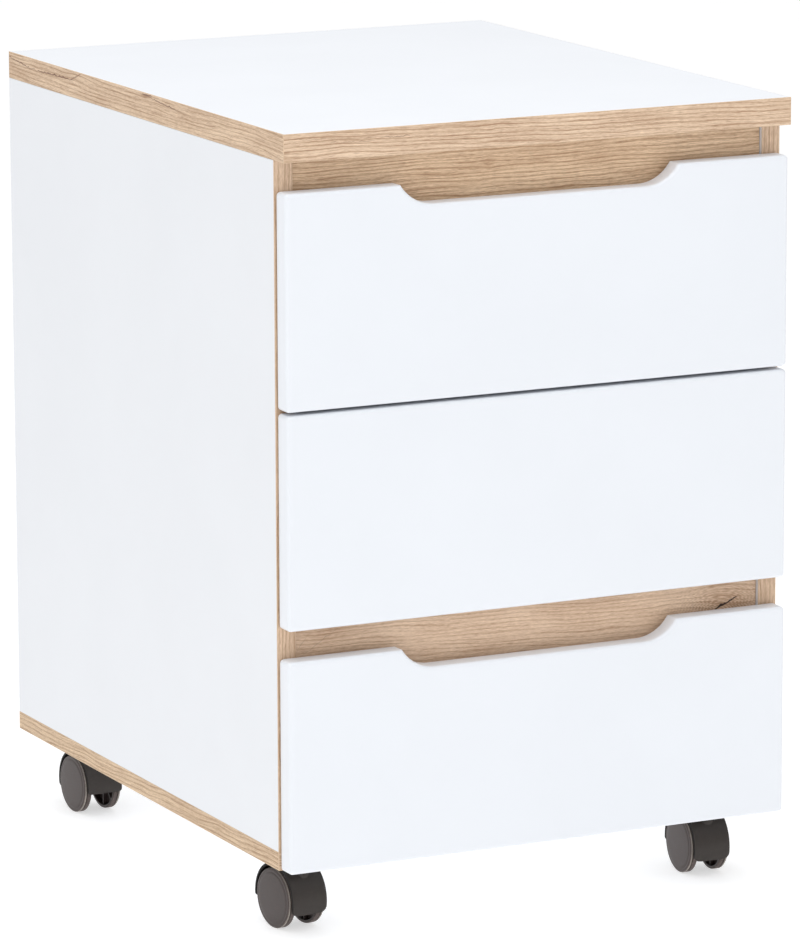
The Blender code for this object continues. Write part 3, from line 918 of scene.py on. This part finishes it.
def make_pin(name, x_start, x_end, y, z, radius, body):
    """A riveted pin along X with a rounded free end."""
    length = abs(x_end - x_start)
    tip = radius * 0.4
    profile = [(0.0, length), (radius - tip, length), (radius, length - tip)]
    profile += [(radius, 0.0), (0.0, 0.0)]
    turn = Matrix.Rotation(pi / 2 if x_end > x_start else -pi / 2, 4, "Y")
    place = Matrix.Translation((x_start, y, z)) @ turn
    piece(name, lathe(profile, 32), body, ZINC, matrix=place)


def make_runners(drawer):
    body = f"drawer_{drawer}"
    for side, sign in SIDES:
        wall_low, wall_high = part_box(f"{body}_side_{side}")
        panel_low, panel_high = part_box(f"side_panel_{side}")
        x_drawer = wall_high.x if sign > 0 else wall_low.x
        x_cabinet = panel_low.x if sign > 0 else panel_high.x
        z_centre = wall_low.z + RUNNER_LIFT
        channel, rider = runner_sections(x_drawer, x_cabinet, z_centre, sign)
        node = f"runner_cabinet_{drawer}_{side}"
        low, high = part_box(node)
        make_member(f"{node}_channel", channel, low.y, high.y, "carcass", node)
        x_web = x_cabinet - sign * (CLEARANCE + SHEET)
        for index, along in enumerate(RUNNER_SCREWS):
            place = Matrix.Translation((x_web, low.y + along, z_centre + CHANNEL_SCREW_RISE))
            place = place @ Matrix.Rotation(-sign * pi / 2, 4, "Y")
            piece(f"{node}_screw_{index}", SMALL_SCREW, "carcass", None, matrix=place)
        roller_node = f"roller_{drawer}_{side}"
        roller_low, roller_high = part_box(roller_node)
        centre = (roller_low + roller_high) / 2
        place = Matrix.Translation(centre) @ Matrix.Rotation(pi / 2, 4, "Y")
        name = f"{roller_node}_wheel"
        piece(name, ROLLER, roller_node, None, (roller_node,), place)
        x_end = x_drawer + sign * FRONT_PIN_END
        make_pin(f"{node}_pin", x_web, x_end, centre.y, centre.z, FRONT_PIN_RADIUS, "carcass")

        node = f"runner_drawer_{drawer}_{side}"
        low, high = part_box(node)
        make_member(f"{node}_member", rider, low.y, high.y, body, node)
        y_rear = high.y - REAR_ROLLER_FROM_END
        z_rear = z_centre - REAR_ROLLER_DROP
        place = Matrix.Translation((x_drawer + sign * REAR_ROLLER_OUT, y_rear, z_rear))
        place = place @ Matrix.Rotation(pi / 2, 4, "Y")
        piece(f"{node}_rear_roller", ROLLER, body, None, matrix=place)
        x_web = x_drawer + sign * (CLEARANCE + SHEET)
        x_end = x_drawer + sign * REAR_PIN_END
        make_pin(f"{node}_rear_pin", x_web, x_end, y_rear, z_rear, REAR_PIN_RADIUS, body)
        for index, along in enumerate(RUNNER_SCREWS):
            place = Matrix.Translation((x_web, low.y + along, z_centre - MEMBER_SCREW_DROP))
            place = place @ Matrix.Rotation(sign * pi / 2, 4, "Y")
            piece(f"{node}_screw_{index}", SMALL_SCREW, body, None, matrix=place)


# ----------------------------------------------------------
# Casters, each mesh made once about the axle or the swivel axis


def rim_angle(radius, rear):
    """Angle up from the leading direction at which the hood's rim plane meets a radius."""
    tilt = tan(HOOD_TILT)
    guess = pi if rear else 0.0
    for _ in range(20):
        level = -HOOD_EDGE_DROP - radius * cos(guess) * tilt
        lift = asin(max(-1.0, min(1.0, level / radius)))
        guess = pi - lift if rear else lift
    return guess


def hood_shell():
    """The arched shell: a grid round the axle whose width draws in at its rounded corners."""
    rows, columns = HOOD_ROWS, HOOD_COLUMNS
    start, end = rim_angle(HOOD_RADIUS, False), rim_angle(HOOD_RADIUS, True)
    arc = HOOD_RADIUS * (end - start)
    bm = bmesh.new()
    layers = []
    stations = []
    for i in range(rows + 1):
        share = i / rows
        # stations crowd towards both ends, where the corners are
        stations.append(arc * (0.5 - 0.5 * cos(pi * share)))
    for radius in (HOOD_RADIUS, HOOD_RADIUS - HOOD_WALL):
        layer = []
        for station in stations:
            angle = start + (end - start) * station / arc
            half = HOOD_HALF_WIDTH
            ends = ((HOOD_FRONT_CORNER, station), (HOOD_REAR_CORNER, arc - station))
            for corner, distance in ends:
                if distance < corner:
                    half -= corner - sqrt(max(0.0, corner**2 - (corner - distance) ** 2))
            y, z = -radius * cos(angle), radius * sin(angle)
            row = [bm.verts.new((half * (2 * j / columns - 1), y, z)) for j in range(columns + 1)]
            layer.append(row)
        layers.append(layer)
    outer, inner = layers
    for i in range(rows):
        for j in range(columns):
            bm.faces.new((outer[i][j], outer[i][j + 1], outer[i + 1][j + 1], outer[i + 1][j]))
            bm.faces.new((inner[i][j], inner[i + 1][j], inner[i + 1][j + 1], inner[i][j + 1]))
        for j in (0, columns):
            bm.faces.new((outer[i][j], outer[i + 1][j], inner[i + 1][j], inner[i][j]))
    for i in (0, rows):
        for j in range(columns):
            bm.faces.new((outer[i][j], outer[i][j + 1], inner[i][j + 1], inner[i][j]))
    bmesh.ops.recalc_face_normals(bm, faces=bm.faces)
    rim = sharp_edges(bm, 50.0)
    round_edges(bm, rim, HOOD_EDGE_ROUND, 2)
    return bm


def hood_mesh():
    """Shell, web and neck joined in one moulding, with bores for the kingpin and the axle."""
    start, end = rim_angle(HOOD_RADIUS, False), rim_angle(HOOD_RADIUS, True)
    radius = HOOD_RADIUS - WEB_INSET
    angles = [start + (end - start) * i / WEB_STEPS for i in range(WEB_STEPS + 1)]
    side = [(-radius * cos(a), radius * sin(a)) for a in angles]
    side += [(0.0080, -0.0058), (0.0055, -0.0078), (0.0, -0.0086), (-0.0055, -0.0084)]
    web = prism(side, lambda y, z, x: (x, y, z), -WEB_HALF_WIDTH, WEB_HALF_WIDTH)
    flat_edges = sharp_edges(web, 50.0, lambda e: abs(e.verts[0].co.x - e.verts[1].co.x) < 1e-6)
    round_edges(web, flat_edges, WEB_ROUND, 2)
    neck_top = PLATE_BOTTOM - NECK_CLEARANCE - WHEEL_RADIUS
    neck = lathe(
        [
            (0.0, neck_top),
            (0.0083, neck_top),
            (NECK_RADIUS, neck_top - 0.0007),
            (NECK_RADIUS, neck_top - 0.0030),
            (0.0084, neck_top - 0.0038),
            (0.0070, neck_top - 0.0060),
            (0.0066, 0.0220),
            (0.0066, NECK_FOOT),
            (0.0, NECK_FOOT),
        ],
        64,
    )
    bmesh.ops.translate(neck, vec=(0.0, -TRAIL, 0.0), verts=neck.verts)
    wide, past_top = KINGPIN_RADIUS + CLEARANCE, 0.060
    bore = lathe([(0.0, past_top), (wide, past_top), (wide, NECK_FOOT), (0.0, NECK_FOOT)], 48)
    bmesh.ops.translate(bore, vec=(0.0, -TRAIL, 0.0), verts=bore.verts)
    wide, past_side = AXLE_RADIUS + CLEARANCE, 0.02
    axle = lathe([(0.0, past_side), (wide, past_side), (wide, -past_side), (0.0, -past_side)], 48)
    bmesh.ops.rotate(axle, matrix=Matrix.Rotation(pi / 2, 3, "Y"), verts=axle.verts)
    mesh = combined(as_mesh("shell", hood_shell()), as_mesh("web", web), "UNION")
    mesh = combined(mesh, as_mesh("neck", neck), "UNION")
    mesh = combined(mesh, as_mesh("bore", bore), "DIFFERENCE")
    mesh = combined(mesh, as_mesh("axle_bore", axle), "DIFFERENCE")
    mesh.materials.clear()
    mesh.materials.append(HOOD_PLASTIC)
    mesh.materials.append(HOOD_PAINTED_SHADE)
    # faces off the outer skin and the neck get the near-black copy: painted shade
    for polygon in mesh.polygons:
        x, y, z = polygon.center
        outside = sqrt(y * y + z * z) > HOOD_RADIUS - HOOD_SKIN and abs(polygon.normal.x) < 0.5
        on_neck = sqrt(x * x + (y + TRAIL) ** 2) < NECK_RADIUS + 0.0002
        polygon.material_index = 0 if outside or on_neck else 1
    return mesh


def wheel_mesh():
    """A wheel about Z, outer face up: domed cap, glossy rim painted pale as a highlight, groove,
    tread, hollow ribbed back.
    """
    r = WHEEL_RADIUS
    shares = [step / DOME_STEPS for step in range(DOME_STEPS + 1)]
    dome = [(DOME_RADIUS * share, DOME_CROWN - DOME_RISE * share**2) for share in shares]
    rim = [
        (0.0208, 0.01712),
        (0.0212, 0.01700),
        (0.0216, 0.01712),
        (0.0226, 0.01705),
        (0.0233, 0.01680),
        (0.0238, 0.01635),
        (r, 0.01580),
        (r, 0.01525),
        (0.02385, 0.01505),
        (0.0232, 0.01495),
        (0.0229, 0.01480),
        (0.0229, 0.01445),
        (0.0232, 0.01430),
        (0.0237, 0.01425),
    ]
    tread = [(r, 0.01395), (r, 0.01110), (0.0238, 0.01065), (0.0233, 0.01045)]
    back = [
        (0.0218, 0.01045),
        (0.0215, 0.01070),
        (0.0213, 0.01480),
        (0.0208, 0.01530),
        (0.0080, 0.01530),
        (0.0074, 0.01500),
        (0.0069, 0.01040),
        (0.0066, 0.01000),
        (AXLE_RADIUS + CLEARANCE, 0.01000),
        (AXLE_RADIUS + CLEARANCE, 0.01530),
        (0.0, 0.01530),
    ]
    mesh = as_mesh("wheel", lathe(dome + rim + tread + back, WHEEL_STEPS))
    for index in range(RIB_COUNT):
        rib = cuboid((0.0071, -0.0006, 0.0118), (0.0214, 0.0006, 0.0156))
        turn = Matrix.Rotation(2 * pi / RIB_COUNT * index, 3, "Z")
        bmesh.ops.rotate(rib, matrix=turn, verts=rib.verts)
        mesh = combined(mesh, as_mesh("rib", rib), "UNION")
    mesh.materials.clear()
    for material in (WHEEL_PLASTIC, RIM_PAINTED_HIGHLIGHT, TREAD_PLASTIC):
        mesh.materials.append(material)
    # the rim faces take the pale rim material, a painted highlight
    for polygon in mesh.polygons:
        x, y, z = polygon.center
        radius = sqrt(x * x + y * y)
        if radius > HIGHLIGHT_RIM_RADIUS and z > HIGHLIGHT_RIM_HEIGHT:
            polygon.material_index = 1
        elif radius > TREAD_START:
            polygon.material_index = 2
        else:
            polygon.material_index = 0
    return mesh


def plate_mesh():
    """Plate with rounded corners, a pressed ring and the kingpin, about the swivel axis."""
    inner = PLATE_HALF - PLATE_CORNER
    points = []
    for turn in range(4):
        for step in range(PLATE_CORNER_STEPS + 1):
            angle = pi / 2 * (turn + step / PLATE_CORNER_STEPS)
            cx = inner * (1 if turn in (0, 3) else -1)
            cy = inner * (1 if turn in (0, 1) else -1)
            points.append((cx + PLATE_CORNER * cos(angle), cy + PLATE_CORNER * sin(angle)))
    top = PLATE_BOTTOM + PLATE_THICKNESS
    plate = prism(points, lambda x, y, z: (x, y, z), PLATE_BOTTOM, top)
    rim = sharp_edges(plate, 50.0)
    round_edges(plate, rim, PLATE_ROUND, 2)
    ring = lathe(
        [
            (0.0104, PLATE_BOTTOM + 0.0005),
            (0.0104, PLATE_BOTTOM - 0.0008),
            (0.0110, PLATE_BOTTOM - 0.0013),
            (0.0128, PLATE_BOTTOM - 0.0013),
            (0.0138, PLATE_BOTTOM - 0.0008),
            (0.0146, PLATE_BOTTOM + 0.0005),
        ],
        72,
    )
    mesh = combined(as_mesh("plate", plate), as_mesh("ring", ring), "UNION")
    pin = lathe(
        [
            (0.0, PLATE_BOTTOM + KINGPIN_BITE),
            (KINGPIN_RADIUS, PLATE_BOTTOM + KINGPIN_BITE),
            (KINGPIN_RADIUS, KINGPIN_FOOT + 0.0008),
            (KINGPIN_RADIUS - 0.0008, KINGPIN_FOOT),
            (0.0, KINGPIN_FOOT),
        ],
        48,
    )
    mesh = combined(mesh, as_mesh("kingpin", pin), "UNION")
    mesh.materials.clear()
    mesh.materials.append(ZINC)
    return mesh


def axle_mesh():
    end = AXLE_HALF_LENGTH
    chamfer = 0.0004
    profile = [(0.0, end), (AXLE_RADIUS - chamfer, end), (AXLE_RADIUS, end - chamfer)]
    profile += [(radius, -height) for radius, height in reversed(profile)]
    mesh = as_mesh("axle", lathe(profile, 48))
    mesh.materials.append(ZINC)
    return mesh


HOOD = hood_mesh()
WHEEL = wheel_mesh()
PLATE = plate_mesh()
AXLE = axle_mesh()


def make_caster(corner):
    joints = {joint["name"]: joint for joint in frame["record"]["behaviour"]["joints"]}
    swivel = joints[f"caster_{corner}_swivel"]["pos_m"]
    axis = joints[f"wheel_{corner}_right_spin"]["axis"]
    turn = Matrix.Rotation(atan2(axis[1], axis[0]), 4, "Z")
    stand = Matrix.Translation((swivel[0], swivel[1], 0.0))
    axle = stand @ turn @ Matrix.Translation((0.0, TRAIL, WHEEL_RADIUS))
    name = f"caster_{corner}"
    hood = f"{name}_hood"
    piece(f"{hood}_shell", HOOD, name, None, (hood,), axle, 28.0, False)
    across = axle @ Matrix.Rotation(pi / 2, 4, "Y")
    piece(f"{name}_axle_pin", AXLE, name, None, (f"{name}_axle",), across)
    for side, sign in SIDES:
        place = axle @ Matrix.Rotation(sign * pi / 2, 4, "Y")
        body = f"wheel_{corner}_{side}"
        node = f"{name}_wheel_{side}"
        piece(f"{node}_disc", WHEEL, body, None, (node,), place, 40.0, False)
    piece(f"{name}_plate_steel", PLATE, "carcass", None, (f"{name}_plate",), stand)
    for index in range(4):
        x = PLATE_SCREW * (1 if index in (0, 3) else -1)
        y = PLATE_SCREW * (1 if index in (0, 1) else -1)
        place = stand @ Matrix.Translation((x, y, PLATE_BOTTOM)) @ Matrix.Rotation(pi, 4, "X")
        piece(f"{name}_screw_{index}", PAN_SCREW, "carcass", None, matrix=place)


# ----------------------------------------------------------
# Floor, light and camera


def make_stage():
    finish = Finish("floor_paint", srgb(210, 210, 210), 0.75)
    finish.shader.inputs["Emission Color"].default_value = (1.0, 1.0, 1.0, 1.0)
    finish.shader.inputs["Emission Strength"].default_value = FLOOR_GLOW
    finish.roughness(finish.span(finish.noise(finish.place, 3.0, 4.0), 0.3, 0.7, 0.7, 0.8))
    bm = bmesh.new()
    bmesh.ops.create_grid(bm, x_segments=1, y_segments=1, size=FLOOR_SIZE)
    mesh = as_mesh("floor", bm)
    mesh.materials.append(finish.material)
    floor = bpy.data.objects.new("floor", mesh)
    bpy.context.scene.collection.objects.link(floor)


def area_light(name, place, size, power, colour):
    """A square light in watts, turned towards the middle of the cabinet."""
    data = bpy.data.lights.new(name, "AREA")
    data.shape = "SQUARE"
    data.size = size
    data.energy = power
    data.color = colour
    light = bpy.data.objects.new(name, data)
    light.location = place
    aim = Vector(LIGHT_TARGET) - Vector(place)
    light.rotation_euler = aim.to_track_quat("-Z", "Y").to_euler()
    bpy.context.scene.collection.objects.link(light)


def make_light():
    scene = bpy.context.scene
    scene.view_settings.view_transform = "Standard"
    world = bpy.data.worlds.new("studio")
    world.use_nodes = True
    background = world.node_tree.nodes["Background"]
    background.inputs["Color"].default_value = (1.0, 1.0, 1.0, 1.0)
    background.inputs["Strength"].default_value = WORLD_STRENGTH
    scene.world = world
    area_light("overhead", (-0.3, -0.3, 3.0), 2.6, 43.0, (0.96, 0.98, 1.0))
    area_light("forward", (-0.3, -1.5, 3.1), 1.6, 6.0, (0.96, 0.98, 1.0))
    area_light("key", (-1.9, -3.2, 2.1), 2.2, 17.0, (0.98, 0.99, 1.0))


def make_camera():
    data = bpy.data.cameras.new("camera")
    data.lens = CAMERA_LENS
    data.sensor_width = 36.0
    data.clip_start = 0.1
    camera = bpy.data.objects.new("camera", data)
    yaw = Matrix.Rotation(-CAMERA_YAW, 4, "Z")
    pitch = Matrix.Rotation(pi / 2 - CAMERA_PITCH, 4, "X")
    roll = Matrix.Rotation(CAMERA_ROLL, 4, "Z")
    camera.matrix_world = Matrix.Translation(CAMERA_PLACE) @ yaw @ pitch @ roll
    bpy.context.scene.collection.objects.link(camera)
    bpy.context.scene.camera = camera


make_carcass()
for drawer in DRAWERS:
    make_front(drawer, drawer != "middle")
    make_drawer_box(drawer)
    make_runners(drawer)
for corner in CORNERS:
    make_caster(corner)
make_stage()
make_light()
make_camera()
